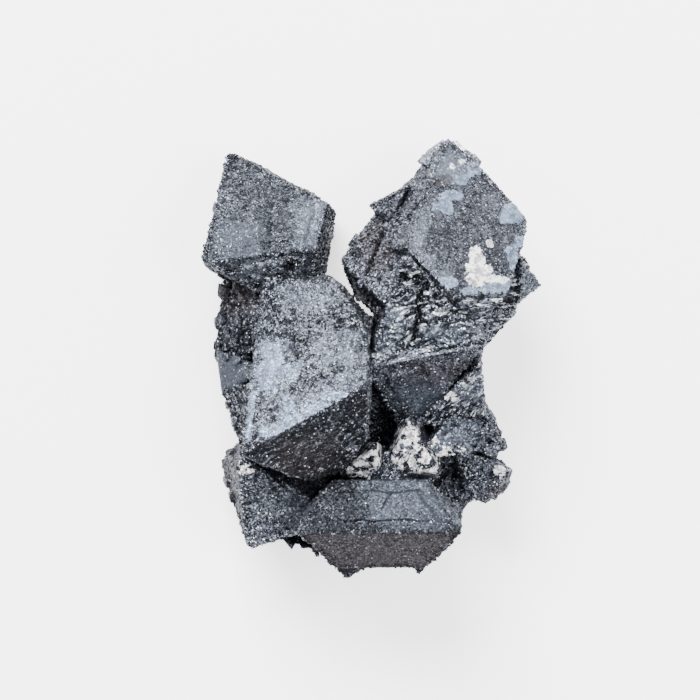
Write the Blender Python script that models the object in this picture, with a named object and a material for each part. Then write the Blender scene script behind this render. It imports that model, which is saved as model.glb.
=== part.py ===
"""Hematite pseudomorph after magnetite: a hand-sized cluster of octahedral crystals, as one solid.

The crystals grew through one another, so each is modelled whole, as an octahedron whose faces
reached different distances, and all of them are joined. The cluster lies on the flat surface
where it broke from its matrix: that surface is z = 0, and the crystals point up and outwards.

Lengths in the tables are millimetres in the part's own frame. +Y runs from the feet to the two
crowns, +X from the left crown to the right crown, and +Z from the broken base to the front.
"""
import itertools
import math
import random
from collections import namedtuple

import bmesh
import bpy
import numpy as np
from mathutils import Matrix, Vector

MM = 0.001
NODE = "crystal_cluster"
BASE_MIDDLE = (0.07, -0.08)        # middle of the base's box, before the cluster is centred on it
BASE_HEIGHT = 0.0                 # the broken surface
CUTTER_SPAN = 120.0               # size of the block that cuts the broken surface
WELD = 0.001                      # points closer than this are one point
SEED = 27

# A crystal is given by its centre and by three neighbouring tips of its octahedron, which are the
# corners of its front face. reach moves single faces: a key has one sign per tip, "+++" is the
# front face and "---" the one behind, and 1 leaves a face where the plain octahedron has it.
# flats are contact or broken surfaces: a point on the flat and the direction that it faces.
Crystal = namedtuple("Crystal", "centre tips reach flats", defaults=({}, ()))

CRYSTALS = {
    "left_crown": Crystal(
        (-8.5, 13.5, 8.5),
        ((-18.8, 27.9, 10.5), (-22.3, 12.8, 20.8), (2.9, 15.8, 20.0)),
        {"--+": 0.19, "++-": 1.025},
        (((-5.6, 15.4, 0.0), (0.98, -0.17, 0.06)),)),
    "left_crown_rear": Crystal(
        (-8.9, 13.8, 5.3),
        ((-19.1, 28.3, 7.3), (-22.5, 12.7, 17.6), (2.4, 16.3, 16.8)),
        {"--+": 0.1, "+++": 0.95}),
    "left_shoulder": Crystal(
        (-8.4, -7.3, 22.0),
        ((-17.1, -12.4, 31.0), (-0.4, -3.1, 32.0), (-15.3, 4.3, 22.0)),
        {"-++": 2.6, "+-+": 0.98, "--+": 1.9},
        (((-3.2, 6.9, 26.0), (0.78, 0.6, 0.2)),
         ((-0.6, 1.2, 28.0), (1.0, 0.02, 0.08)),
         ((-2.1, -12.3, 22.0), (0.81, -0.59, 0.05)),
         ((-6.1, -15.3, 20.0), (0.32, -0.95, 0.1)),
         ((-9.5, -16.2, 20.0), (-0.25, -0.95, 0.1)),
         ((-10.1, 10.3, 20.0), (0.0, 0.95, 0.3)),
         ((-2.8, 7.9, 15.0), (0.69, 0.72, -0.05)))),
    "front_foot": Crystal(
        (1.3, -19.6, 17.0),
        ((-9.9, -22.7, 27.0), (11.6, -22.6, 27.0), (0.9, -6.3, 19.0)),
        {"--+": -0.14},
        (((1.6, -26.6, 20.0), (0.0, -0.75, -0.6)),)),
    "left_foot": Crystal(
        (-12.4, -15.3, 8.0),
        ((-17.5, -13.3, 20.0), (-16.1, -25.2, 18.1), (-2.9, -21.2, 17.9)),
        {"--+": 0.8, "++-": 1.06},
        (((-20.0, -13.9, 14.0), (-0.4, 0.85, 0.1)),
         ((-19.0, -12.4, 12.0), (-0.77, 0.64, 0.0)),
         ((-20.8, -14.7, 12.0), (-0.9, -0.35, 0.0)),
         ((-11.6, -24.4, 13.0), (0.1, -1.0, -0.05)))),
    "right_waist": Crystal(
        (4.9, 0.5, 17.3),
        ((-0.8, -1.2, 24.0), (13.2, 1.5, 26.5), (4.1, -9.7, 16.0)),
        {"--+": 0.85, "-+-": 1.2, "-++": 1.22},
        (((5.0, -8.5, 16.0), (0.1, -1.0, 0.1)),)),
    "right_saddle": Crystal(
        (7.8, 5.8, 16.0),
        ((-0.6, -0.8, 23.2), (15.0, 2.5, 26.7), (4.0, 13.5, 29.4))),
    "right_crown": Crystal(
        (11.1, 13.7, 18.4),
        ((5.3, 13.0, 32.1), (24.9, 13.9, 24.2), (10.6, 28.6, 18.9)),
        {"+++": 0.667, "-++": 1.2, "+-+": 1.01, "-+-": 0.58, "++-": 1.333, "+--": 0.838,
         "--+": 1.37},
        (((20.4, 15.7, 19.0), (1.0, 0.03, 0.1)),
         ((18.8, 20.4, 18.0), (0.79, 0.62, 0.0)))),
    "right_crown_rear": Crystal(
        (9.6, 14.4, 14.5),
        ((3.9, 13.7, 27.9), (23.0, 14.6, 20.2), (9.1, 29.0, 15.0)),
        {"+++": 0.3, "-++": 0.9, "-+-": 0.2, "--+": 1.31, "+--": 0.9},
        (((-2.0, 15.8, 12.0), (-0.73, 0.69, 0.1)),)),
    "right_crown_step": Crystal(
        (12.6, 11.4, 13.0),
        ((6.9, 10.7, 26.4), (26.0, 11.6, 18.7), (12.1, 26.0, 13.5)),
        {"-+-": 0.66, "+++": 0.5, "-++": 0.8, "--+": 0.6, "++-": 1.2}),
    "right_foot": Crystal(
        (14.5, -15.8, 8.0),
        ((10.5, -11.7, 17.5), (18.7, -14.7, 16.5), (14.5, -20.2, 13.0)),
        {"--+": 0.7},
        (((16.5, -18.5, 10.0), (0.57, -0.82, 0.0)),)),
    "right_strip": Crystal(
        (10.4, -3.4, 13.0),
        ((14.6, -0.2, 25.0), (4.8, -9.4, 17.2), (14.8, -7.6, 18.0)),
        {},
        (((14.7, -4.0, 15.0), (1.0, 0.1, 0.02)),)),
    "right_flank": Crystal(
        (12.2, -9.5, 6.0),
        ((13.2, -4.5, 18.5), (17.9, -12.2, 14.5), (5.6, -13.2, 18.0)),
        {},
        (((15.5, -7.6, 10.0), (0.86, 0.51, 0.05)),)),
    "right_tip": Crystal(
        (18.4, 10.1, 10.0),
        ((22.7, 9.8, 14.0), (19.9, 13.4, 17.0), (19.3, 7.3, 18.0))),
    "left_flank": Crystal(
        (-16.5, 3.2, 8.0),
        ((-19.6, 13.0, 12.0), (-12.8, 1.9, 19.0), (-21.0, -0.1, 12.0)),
        {"++-": 1.35}),
    "left_flank_low": Crystal(
        (-16.5, -1.8, 6.0),
        ((-20.9, 1.2, 13.0), (-14.3, -1.4, 18.0), (-20.1, -5.2, 12.0))),
    "left_hip": Crystal(
        (-15.9, -6.9, 9.0),
        ((-19.8, -4.4, 12.0), (-14.6, -2.8, 18.0), (-17.1, -13.1, 18.0))),
    "wing": Crystal(
        (2.3, 14.4, 13.5),
        ((-4.0, 12.8, 20.0), (6.8, 20.8, 22.5), (3.0, 5.5, 26.1)),
        {},
        (((-1.9, 15.9, 14.0), (-0.75, 0.66, 0.04)),)),
    "wing_foot": Crystal(
        (3.8, 7.9, 10.0),
        ((-1.2, 7.5, 19.0), (5.0, 12.3, 21.0), (3.2, 3.3, 23.6))),
    "crown_bud": Crystal(
        (3.2, 20.7, 12.0),
        ((-0.5, 20.5, 17.0), (4.9, 23.2, 17.0), (2.1, 18.1, 20.0))),
    "crown_cap": Crystal(
        (10.0, 26.4, 12.5),
        ((6.9, 26.0, 16.8), (14.4, 25.6, 17.0), (9.9, 29.4, 14.0)),
        {"+++": 0.85, "-++": 1.3},
        (((7.0, 27.3, 12.0), (-1.0, 1.0, 0.03)),)),
    "silver_left": Crystal(
        (-0.6, -14.0, 12.5),
        ((-4.4, -15.2, 20.5), (0.6, -10.8, 22.5), (1.2, -16.4, 20.0))),
    "silver_right": Crystal(
        (5.8, -12.2, 12.0),
        ((1.8, -14.7, 19.0), (4.7, -7.5, 21.0), (9.2, -15.2, 19.0))),
    "toe_left": Crystal(
        (-3.2, -24.2, 10.0),
        ((-8.0, -25.0, 16.0), (1.6, -26.2, 17.5), (-3.2, -29.4, 17.0))),
    "toe_right": Crystal(
        (6.6, -23.6, 11.0),
        ((2.4, -25.2, 18.5), (11.0, -24.2, 18.5), (6.2, -28.6, 17.5))),
    "toe_inner": Crystal(
        (-9.3, -23.8, 9.0),
        ((-13.1, -22.6, 13.0), (-5.1, -26.8, 15.0), (-10.4, -25.2, 17.0))),
    "root_left": Crystal(
        (-3.6, -11.2, 0.0),
        ((-17.8, -9.6, 9.0), (-3.6, -25.1, 9.0), (9.2, -5.5, 11.0))),
    "root_right": Crystal(
        (8.1, 1.9, 0.0),
        ((-0.5, 3.9, 12.0), (14.3, 5.0, 10.0), (11.8, -8.8, 14.0))),
    "root_low": Crystal(
        (9.2, -12.6, 0.0),
        ((3.5, -4.0, 10.0), (16.5, -12.0, 9.5), (9.2, -22.5, 10.0))),
    "root_front": Crystal(
        (1.3, -18.2, 4.0),
        ((-7.5, -20.8, 20.0), (9.8, -20.8, 20.0), (1.3, -12.0, 19.0))),
    "root_high": Crystal(
        (6.7, 10.8, 0.0),
        ((-1.3, 10.0, 10.0), (7.9, 20.1, 10.0), (9.0, 3.9, 16.0))),
}

# Growth layers: thin plates of the same crystal on one of its faces, as (crystal, face, rise,
# inset of the plate's edges).
LAYERS = (
    ("left_crown", "+++", 0.35, 1.6),
    ("left_crown", "-++", 0.4, 1.4),
    ("right_crown", "+++", 0.3, 1.2),
    ("right_crown", "++-", 0.45, 0.9),
    ("right_crown", "++-", 0.9, 2.0),
    ("right_crown", "+--", 0.5, 1.3),
    ("right_crown_step", "++-", 0.5, 1.0),
    ("right_waist", "++-", 0.4, 0.9),
    ("right_waist", "+++", 0.3, 1.5),
    ("left_shoulder", "+++", 0.25, 1.5),
    ("front_foot", "+++", 0.35, 1.7),
    ("left_foot", "+++", 0.3, 1.3),
    ("left_flank", "+++", 0.4, 1.0),
)

# Hollows with the crystal's own flat walls: (crystal whose turn they share, centre, half height).
PITS = (
    ("right_saddle", (6.3, 9.9, 28.9), 2.2),
    ("right_saddle", (3.6, 10.3, 28.4), 1.6),
    ("wing", (3.0, 10.0, 26.2), 1.9),
    ("front_foot", (-3.6, -27.2, 19.5), 1.5),
    ("left_crown", (-11.0, 12.2, 18.6), 1.2),
)

# Small crystals grown on a host, nearly parallel to it: (host, how many, half height from, to,
# and the direction that they favour).
DRUSES = (
    ("left_crown", 16, 0.5, 0.9, (0.9, -0.4, 0.4)),
    ("left_crown_rear", 12, 0.7, 1.5, (-0.4, -0.7, -0.1)),
    ("left_flank", 14, 0.8, 1.6, (-0.6, 0.0, 0.6)),
    ("left_flank_low", 8, 0.7, 1.3, (-0.8, -0.1, 0.1)),
    ("left_hip", 10, 0.7, 1.3, (-0.7, -0.2, 0.5)),
    ("left_foot", 12, 0.7, 1.4, (-0.4, -0.6, 0.1)),
    ("toe_inner", 5, 0.6, 1.0, (0.0, -0.8, 0.2)),
    ("toe_left", 5, 0.6, 1.0, (0.0, -0.8, 0.0)),
    ("toe_right", 5, 0.6, 1.0, (0.3, -0.8, 0.0)),
    ("right_flank", 22, 0.8, 1.7, (0.5, 0.2, 0.7)),
    ("right_foot", 8, 0.6, 1.0, (0.6, -0.5, 0.2)),
    ("right_crown_step", 12, 0.7, 1.4, (0.5, -0.7, 0.1)),
    ("right_crown_rear", 10, 0.7, 1.3, (-0.8, 0.3, 0.1)),
    ("right_tip", 4, 0.5, 0.8, (0.7, 0.0, 0.2)),
    ("wing", 8, 0.6, 1.0, (-0.7, 0.1, 0.5)),
    ("root_low", 10, 0.9, 1.8, (0.5, -0.6, 0.2)),
    ("root_right", 8, 0.9, 1.8, (0.8, 0.1, 0.3)),
    ("root_high", 8, 0.9, 1.8, (0.0, 0.7, 0.4)),
)
DRUSE_TURN = 22.0                 # largest turn of a small crystal from its host, in degrees


def faces(crystal):
    """The eight faces as {key: (outward unit direction, distance from the frame's origin)}."""
    centre = np.array(crystal.centre)
    axes = np.linalg.inv((np.array(crystal.tips) - centre).T)
    found = {}
    for signs in itertools.product((1, -1), repeat=3):
        key = "".join("+" if sign > 0 else "-" for sign in signs)
        slope = np.array(signs) @ axes
        length = np.linalg.norm(slope)
        reach = crystal.reach.get(key, 1.0)
        found[key] = (slope / length, (reach + slope @ centre) / length)
    return found


def planes_of(crystal):
    """Every plane that bounds the crystal: its eight faces and its flats."""
    planes = list(faces(crystal).values())
    for point, direction in crystal.flats:
        unit = np.array(direction) / np.linalg.norm(direction)
        planes.append((unit, float(unit @ np.array(point))))
    return planes


def layer_planes(crystal, face, rise, inset):
    """The crystal's planes drawn in by inset, with one face moved out by rise instead."""
    planes = []
    for key, (unit, distance) in faces(crystal).items():
        planes.append((unit, distance + rise if key == face else distance - inset))
    for unit, distance in planes_of(crystal)[8:]:
        planes.append((unit, distance - inset))
    return planes


def small_octahedron(crystal, centre, half_height, turn=np.identity(3)):
    """Planes of a small octahedron around a centre, parallel to a crystal's but for its turn."""
    centre = np.array(centre)
    face_distance = half_height / math.sqrt(3.0)
    units = [turn @ unit for unit, _ in faces(crystal).values()]
    return [(unit, float(unit @ centre) + face_distance) for unit in units]


def corners(planes):
    """Points where three planes meet and which lie inside all the others."""
    units = np.array([unit for unit, _ in planes])
    distances = np.array([distance for _, distance in planes])
    points = []
    for trio in itertools.combinations(range(len(planes)), 3):
        rows = list(trio)
        if abs(np.linalg.det(units[rows])) < 1e-4:
            continue
        point = np.linalg.solve(units[rows], distances[rows])
        if np.all(units @ point <= distances + 1e-6):
            points.append(point)
    return points


def convex_body(name, planes):
    """A closed object bounded by the planes."""
    shape = bmesh.new()
    for point in corners(planes):
        shape.verts.new(Vector(point) * MM)
    bmesh.ops.remove_doubles(shape, verts=shape.verts, dist=WELD * MM)
    hull = bmesh.ops.convex_hull(shape, input=shape.verts)
    spare = [item for item in hull["geom_interior"] if isinstance(item, bmesh.types.BMVert)]
    bmesh.ops.delete(shape, geom=spare, context="VERTS")
    bmesh.ops.dissolve_limit(shape, angle_limit=math.radians(0.2), verts=shape.verts,
                             edges=shape.edges)
    bmesh.ops.recalc_face_normals(shape, faces=shape.faces)
    mesh = bpy.data.meshes.new(name)
    shape.to_mesh(mesh)
    shape.free()
    body = bpy.data.objects.new(name, mesh)
    bpy.context.collection.objects.link(body)
    return body


def combine(body, tool, operation):
    """Join the tool to the body, or cut it from the body, and remove the tool."""
    modifier = body.modifiers.new(operation.title(), "BOOLEAN")
    modifier.operation = operation
    modifier.solver = "EXACT"
    modifier.object = tool
    evaluated = body.evaluated_get(bpy.context.evaluated_depsgraph_get())
    result = bpy.data.meshes.new_from_object(evaluated)
    body.modifiers.clear()
    body.data = result
    bpy.data.objects.remove(tool)


def depth_inside(point, bodies):
    """How deep a point lies inside the deepest of the convex bodies; negative when outside all."""
    return max(min(distance - unit @ point for unit, distance in planes) for planes in bodies)


def druse_spots(host, count, smallest, largest, favoured, others, chance):
    """Places for small crystals: points of the host's surface that no other crystal covers."""
    centre = np.array(CRYSTALS[host].centre)
    planes = planes_of(CRYSTALS[host])
    spots = []
    for _ in range(4000):
        direction = np.array([chance.gauss(side, 0.55) for side in favoured])
        direction /= np.linalg.norm(direction)
        reaches = [(distance - unit @ centre) / (unit @ direction)
                   for unit, distance in planes if unit @ direction > 1e-6]
        size = chance.uniform(smallest, largest)
        spot = centre + direction * (min(reaches) - 0.1 * size)
        hidden = depth_inside(spot, others) > 0.3 * size
        crowded = any(np.linalg.norm(spot - other) < 0.9 * (size + other_size)
                      for other, other_size in spots)
        if spot[2] > BASE_HEIGHT + 2.0 and not hidden and not crowded:
            spots.append((spot, size))
        if len(spots) == count:
            break
    return spots


def slight_turn(chance):
    """A turn of up to DRUSE_TURN degrees about any axis."""
    axis = Vector([chance.gauss(0.0, 1.0) for _ in range(3)]).normalized()
    angle = math.radians(chance.uniform(0.0, DRUSE_TURN))
    return np.array(Matrix.Rotation(angle, 3, axis))


def build_cluster():
    """All crystals, their layers and their druse joined, then the hollows and the base cut."""
    chance = random.Random(SEED)
    names = list(CRYSTALS)
    cluster = convex_body(NODE, planes_of(CRYSTALS[names[0]]))
    for name in names[1:]:
        combine(cluster, convex_body(name, planes_of(CRYSTALS[name])), "UNION")
    for name, face, rise, inset in LAYERS:
        planes = layer_planes(CRYSTALS[name], face, rise, inset)
        combine(cluster, convex_body("layer", planes), "UNION")
    for host, count, smallest, largest, favoured in DRUSES:
        others = [planes_of(crystal) for name, crystal in CRYSTALS.items() if name != host]
        for spot, size in druse_spots(host, count, smallest, largest, favoured, others, chance):
            planes = small_octahedron(CRYSTALS[host], spot, size, slight_turn(chance))
            combine(cluster, convex_body("druse", planes), "UNION")
    for name, centre, half_height in PITS:
        planes = small_octahedron(CRYSTALS[name], centre, half_height)
        combine(cluster, convex_body("pit", planes), "DIFFERENCE")
    half = CUTTER_SPAN / 2.0
    block = [(np.array(unit), half) for unit in ((1, 0, 0), (-1, 0, 0), (0, 1, 0), (0, -1, 0))]
    block += [(np.array((0, 0, 1)), BASE_HEIGHT), (np.array((0, 0, -1)), half)]
    combine(cluster, convex_body("matrix", block), "DIFFERENCE")
    return cluster


def shells(shape):
    """The mesh's separate closed shells, each as a list of its points, largest first."""
    unseen = set(shape.verts)
    found = []
    while unseen:
        shell = []
        front = [unseen.pop()]
        while front:
            point = front.pop()
            shell.append(point)
            for edge in point.link_edges:
                other = edge.other_vert(point)
                if other in unseen:
                    unseen.remove(other)
                    front.append(other)
        found.append(shell)
    return sorted(found, key=len, reverse=True)


def settle(cluster):
    """Centre the cluster's box on the origin, weld near points and leave plain triangles.

    A gap that is sealed between crystals inside the cluster is filled: its shell is removed.
    """
    shape = bmesh.new()
    shape.from_mesh(cluster.data)
    for shell in shells(shape)[1:]:
        bmesh.ops.delete(shape, geom=shell, context="VERTS")
    bmesh.ops.remove_doubles(shape, verts=shape.verts, dist=WELD * MM)
    bmesh.ops.dissolve_degenerate(shape, edges=shape.edges, dist=WELD * MM)
    bmesh.ops.triangulate(shape, faces=shape.faces)
    shift = Vector((-BASE_MIDDLE[0] * MM, -BASE_MIDDLE[1] * MM, 0.0))
    bmesh.ops.translate(shape, vec=shift, verts=shape.verts)
    shape.to_mesh(cluster.data)
    shape.free()


def hematite():
    """Dark metallic grey, as fine hematite crystals give."""
    material = bpy.data.materials.new("hematite")
    material.use_nodes = True
    surface = material.node_tree.nodes["Principled BSDF"]
    surface.inputs["Base Color"].default_value = (0.10, 0.105, 0.115, 1.0)
    surface.inputs["Metallic"].default_value = 0.8
    surface.inputs["Roughness"].default_value = 0.45
    return material


def main():
    for old in list(bpy.data.objects):
        bpy.data.objects.remove(old)
    cluster = build_cluster()
    settle(cluster)
    cluster.data.materials.clear()
    cluster.data.materials.append(hematite())


main()
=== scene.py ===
"""The looks of a hematite pseudomorph after magnetite: grown-together octahedral crystals.

Every crystal is a surface over a grid of directions, cut off by the crystal's flat faces. Growth
steps, pits and grains are added to it as relief. A crust of tiny octahedra sits on the crystals.
Lengths in the tables are millimetres, in the same frame as the solid.
"""
import itertools
import math
import random
from collections import namedtuple

import bpy
import numpy as np
from mathutils import Matrix, Vector


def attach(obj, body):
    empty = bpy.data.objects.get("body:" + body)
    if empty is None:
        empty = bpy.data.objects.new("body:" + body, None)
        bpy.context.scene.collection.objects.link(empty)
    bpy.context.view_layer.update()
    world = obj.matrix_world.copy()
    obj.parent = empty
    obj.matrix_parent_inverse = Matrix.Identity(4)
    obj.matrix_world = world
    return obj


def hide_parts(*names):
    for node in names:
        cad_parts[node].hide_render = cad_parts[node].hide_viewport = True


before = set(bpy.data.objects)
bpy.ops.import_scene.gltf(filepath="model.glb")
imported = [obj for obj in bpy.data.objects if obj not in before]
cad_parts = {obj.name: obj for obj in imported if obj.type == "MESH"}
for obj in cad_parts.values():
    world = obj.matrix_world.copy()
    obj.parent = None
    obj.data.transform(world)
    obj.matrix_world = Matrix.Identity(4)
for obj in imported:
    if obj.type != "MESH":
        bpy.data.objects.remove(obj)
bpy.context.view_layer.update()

MM = 0.001
NODE = "crystal_cluster"
BASE_MIDDLE = np.array((0.07, -0.08, 0.0))   # middle of the base's box in the tables' lengths

# ------------------------------
# Crystals, as the solid has them: centre, three tips of the front face, reach of single faces
# and contact flats.
Crystal = namedtuple("Crystal", "centre tips reach flats", defaults=({}, ()))

CRYSTALS = {
    "left_crown": Crystal(
        (-8.5, 13.5, 8.5),
        ((-18.8, 27.9, 10.5), (-22.3, 12.8, 20.8), (2.9, 15.8, 20.0)),
        {"--+": 0.19, "++-": 1.025},
        (((-5.6, 15.4, 0.0), (0.98, -0.17, 0.06)),)),
    "left_crown_rear": Crystal(
        (-8.9, 13.8, 5.3),
        ((-19.1, 28.3, 7.3), (-22.5, 12.7, 17.6), (2.4, 16.3, 16.8)),
        {"--+": 0.1, "+++": 0.95}),
    "left_shoulder": Crystal(
        (-8.4, -7.3, 22.0),
        ((-17.1, -12.4, 31.0), (-0.4, -3.1, 32.0), (-15.3, 4.3, 22.0)),
        {"-++": 2.6, "+-+": 0.98, "--+": 1.9},
        (((-3.2, 6.9, 26.0), (0.78, 0.6, 0.2)),
         ((-0.6, 1.2, 28.0), (1.0, 0.02, 0.08)),
         ((-2.1, -12.3, 22.0), (0.81, -0.59, 0.05)),
         ((-6.1, -15.3, 20.0), (0.32, -0.95, 0.1)),
         ((-9.5, -16.2, 20.0), (-0.25, -0.95, 0.1)),
         ((-10.1, 10.3, 20.0), (0.0, 0.95, 0.3)),
         ((-2.8, 7.9, 15.0), (0.69, 0.72, -0.05)))),
    "front_foot": Crystal(
        (1.3, -19.6, 17.0),
        ((-9.9, -22.7, 27.0), (11.6, -22.6, 27.0), (0.9, -6.3, 19.0)),
        {"--+": -0.14},
        (((1.6, -26.6, 20.0), (0.0, -0.75, -0.6)),)),
    "left_foot": Crystal(
        (-12.4, -15.3, 8.0),
        ((-17.5, -13.3, 20.0), (-16.1, -25.2, 18.1), (-2.9, -21.2, 17.9)),
        {"--+": 0.8, "++-": 1.06},
        (((-20.0, -13.9, 14.0), (-0.4, 0.85, 0.1)),
         ((-19.0, -12.4, 12.0), (-0.77, 0.64, 0.0)),
         ((-20.8, -14.7, 12.0), (-0.9, -0.35, 0.0)),
         ((-11.6, -24.4, 13.0), (0.1, -1.0, -0.05)))),
    "right_waist": Crystal(
        (4.9, 0.5, 17.3),
        ((-0.8, -1.2, 24.0), (13.2, 1.5, 26.5), (4.1, -9.7, 16.0)),
        {"--+": 0.85, "-+-": 1.2, "-++": 1.22},
        (((5.0, -8.5, 16.0), (0.1, -1.0, 0.1)),)),
    "right_saddle": Crystal(
        (7.8, 5.8, 16.0),
        ((-0.6, -0.8, 23.2), (15.0, 2.5, 26.7), (4.0, 13.5, 29.4))),
    "right_crown": Crystal(
        (11.1, 13.7, 18.4),
        ((5.3, 13.0, 32.1), (24.9, 13.9, 24.2), (10.6, 28.6, 18.9)),
        {"+++": 0.667, "-++": 1.2, "+-+": 1.01, "-+-": 0.58, "++-": 1.333, "+--": 0.838,
         "--+": 1.37},
        (((20.4, 15.7, 19.0), (1.0, 0.03, 0.1)),
         ((18.8, 20.4, 18.0), (0.79, 0.62, 0.0)))),
    "right_crown_rear": Crystal(
        (9.6, 14.4, 14.5),
        ((3.9, 13.7, 27.9), (23.0, 14.6, 20.2), (9.1, 29.0, 15.0)),
        {"+++": 0.3, "-++": 0.9, "-+-": 0.2, "--+": 1.31, "+--": 0.9},
        (((-2.0, 15.8, 12.0), (-0.73, 0.69, 0.1)),)),
    "right_crown_step": Crystal(
        (12.6, 11.4, 13.0),
        ((6.9, 10.7, 26.4), (26.0, 11.6, 18.7), (12.1, 26.0, 13.5)),
        {"-+-": 0.66, "+++": 0.5, "-++": 0.8, "--+": 0.6, "++-": 1.2}),
    "right_foot": Crystal(
        (14.5, -15.8, 8.0),
        ((10.5, -11.7, 17.5), (18.7, -14.7, 16.5), (14.5, -20.2, 13.0)),
        {"--+": 0.7},
        (((16.5, -18.5, 10.0), (0.57, -0.82, 0.0)),)),
    "right_strip": Crystal(
        (10.4, -3.4, 13.0),
        ((14.6, -0.2, 25.0), (4.8, -9.4, 17.2), (14.8, -7.6, 18.0)),
        {},
        (((14.7, -4.0, 15.0), (1.0, 0.1, 0.02)),)),
    "right_flank": Crystal(
        (12.2, -9.5, 6.0),
        ((13.2, -4.5, 18.5), (17.9, -12.2, 14.5), (5.6, -13.2, 18.0)),
        {},
        (((15.5, -7.6, 10.0), (0.86, 0.51, 0.05)),)),
    "right_tip": Crystal(
        (18.4, 10.1, 10.0),
        ((22.7, 9.8, 14.0), (19.9, 13.4, 17.0), (19.3, 7.3, 18.0))),
    "left_flank": Crystal(
        (-16.5, 3.2, 8.0),
        ((-19.6, 13.0, 12.0), (-12.8, 1.9, 19.0), (-21.0, -0.1, 12.0)),
        {"++-": 1.35}),
    "left_flank_low": Crystal(
        (-16.5, -1.8, 6.0),
        ((-20.9, 1.2, 13.0), (-14.3, -1.4, 18.0), (-20.1, -5.2, 12.0))),
    "left_hip": Crystal(
        (-15.9, -6.9, 9.0),
        ((-19.8, -4.4, 12.0), (-14.6, -2.8, 18.0), (-17.1, -13.1, 18.0))),
    "wing": Crystal(
        (2.3, 14.4, 13.5),
        ((-4.0, 12.8, 20.0), (6.8, 20.8, 22.5), (3.0, 5.5, 26.1)),
        {},
        (((-1.9, 15.9, 14.0), (-0.75, 0.66, 0.04)),)),
    "wing_foot": Crystal(
        (3.8, 7.9, 10.0),
        ((-1.2, 7.5, 19.0), (5.0, 12.3, 21.0), (3.2, 3.3, 23.6))),
    "crown_bud": Crystal(
        (3.2, 20.7, 12.0),
        ((-0.5, 20.5, 17.0), (4.9, 23.2, 17.0), (2.1, 18.1, 20.0))),
    "crown_cap": Crystal(
        (10.0, 26.4, 12.5),
        ((6.9, 26.0, 16.8), (14.4, 25.6, 17.0), (9.9, 29.4, 14.0)),
        {"+++": 0.85, "-++": 1.3},
        (((7.0, 27.3, 12.0), (-1.0, 1.0, 0.03)),)),
    "silver_left": Crystal(
        (-0.6, -14.0, 12.5),
        ((-4.4, -15.2, 20.5), (0.6, -10.8, 22.5), (1.2, -16.4, 20.0))),
    "silver_right": Crystal(
        (5.8, -12.2, 12.0),
        ((1.8, -14.7, 19.0), (4.7, -7.5, 21.0), (9.2, -15.2, 19.0))),
    "toe_left": Crystal(
        (-3.2, -24.2, 10.0),
        ((-8.0, -25.0, 16.0), (1.6, -26.2, 17.5), (-3.2, -29.4, 17.0))),
    "toe_right": Crystal(
        (6.6, -23.6, 11.0),
        ((2.4, -25.2, 18.5), (11.0, -24.2, 18.5), (6.2, -28.6, 17.5))),
    "toe_inner": Crystal(
        (-9.3, -23.8, 9.0),
        ((-13.1, -22.6, 13.0), (-5.1, -26.8, 15.0), (-10.4, -25.2, 17.0))),
    "root_left": Crystal(
        (-3.6, -11.2, 0.0),
        ((-17.8, -9.6, 9.0), (-3.6, -25.1, 9.0), (9.2, -5.5, 11.0))),
    "root_right": Crystal(
        (8.1, 1.9, 0.0),
        ((-0.5, 3.9, 12.0), (14.3, 5.0, 10.0), (11.8, -8.8, 14.0))),
    "root_low": Crystal(
        (9.2, -12.6, 0.0),
        ((3.5, -4.0, 10.0), (16.5, -12.0, 9.5), (9.2, -22.5, 10.0))),
    "root_front": Crystal(
        (1.3, -18.2, 4.0),
        ((-7.5, -20.8, 20.0), (9.8, -20.8, 20.0), (1.3, -12.0, 19.0))),
    "root_high": Crystal(
        (6.7, 10.8, 0.0),
        ((-1.3, 10.0, 10.0), (7.9, 20.1, 10.0), (9.0, 3.9, 16.0))),
}

# Growth layers: crystal, face, height, and how far the border lies in from the face's edges.
LAYERS = (
    ("left_crown", "+++", 0.35, 1.6),
    ("left_crown", "-++", 0.4, 1.4),
    ("right_crown", "+++", 0.3, 1.2),
    ("right_crown", "++-", 0.45, 0.9),
    ("right_crown", "++-", 0.9, 2.0),
    ("right_crown", "+--", 0.5, 1.3),
    ("right_crown_step", "++-", 0.5, 1.0),
    ("right_waist", "++-", 0.4, 0.9),
    ("right_waist", "+++", 0.3, 1.5),
    ("left_shoulder", "+++", 0.25, 1.5),
    ("front_foot", "+++", 0.35, 1.7),
    ("left_foot", "+++", 0.3, 1.3),
    ("left_flank", "+++", 0.4, 1.0),
)

# Hollows shaped as octahedra: crystal, middle, and distance from the middle to a tip.
PITS = (
    ("right_saddle", (6.3, 9.9, 28.9), 2.2),
    ("right_saddle", (3.6, 10.3, 28.4), 1.6),
    ("wing", (3.0, 10.0, 26.2), 1.9),
    ("front_foot", (-3.6, -27.2, 19.5), 1.5),
    ("left_crown", (-11.0, 12.2, 18.6), 1.2),
)

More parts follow.
